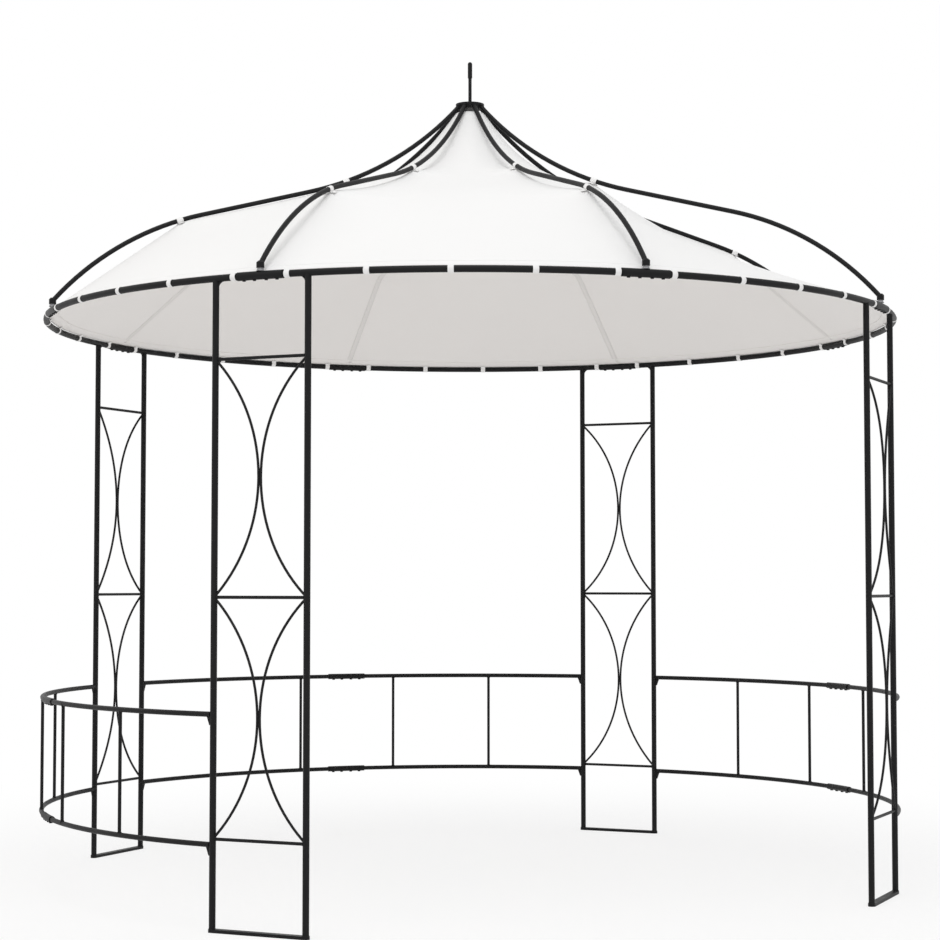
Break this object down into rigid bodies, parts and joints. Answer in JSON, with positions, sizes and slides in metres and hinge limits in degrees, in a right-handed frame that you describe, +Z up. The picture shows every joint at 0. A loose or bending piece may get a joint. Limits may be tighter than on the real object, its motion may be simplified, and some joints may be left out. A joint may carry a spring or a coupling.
{
  "type": "garden gazebo",
  "caption": "Round open garden gazebo: lattice steel pillars carry an eaves ring and bell-shaped ribs with a finial; low railings close the side bays and a fabric canopy hangs under the ribs.",
  "frame": {"origin": "on the ground at the centre of the round plan", "axes": "+Z up along the finial, -Y out through the open front bay, +X to the right seen from the front"},
  "size_m": [2.9998, 2.9998, 2.9],
  "materials": {
    "frame": "near-black satin powder coat on bent steel tube",
    "canopy": "off-white woven polyester, matt"
  },
  "bodies": {
    "root": {"pillar_front_right": "frame", "pillar_back_right": "frame", "pillar_back_left": "frame", "pillar_front_left": "frame", "ring_front_right": "frame", "ring_right_front": "frame", "ring_right_back": "frame", "ring_back_right": "frame", "ring_back_left": "frame", "ring_left_back": "frame", "ring_left_front": "frame", "ring_front_left": "frame", "ring_sleeves": "frame", "rib_front": "frame", "rib_front_right": "frame", "rib_right": "frame", "rib_back_right": "frame", "rib_back": "frame", "rib_back_left": "frame", "rib_left": "frame", "rib_front_left": "frame", "hub": "frame", "finial": "frame", "railing_right_front": "frame", "railing_right_back": "frame", "railing_back_right": "frame", "railing_back_left": "frame", "railing_left_back": "frame", "railing_left_front": "frame", "railing_sleeves": "frame", "canopy": "canopy"}
  },
  "joints": []
}
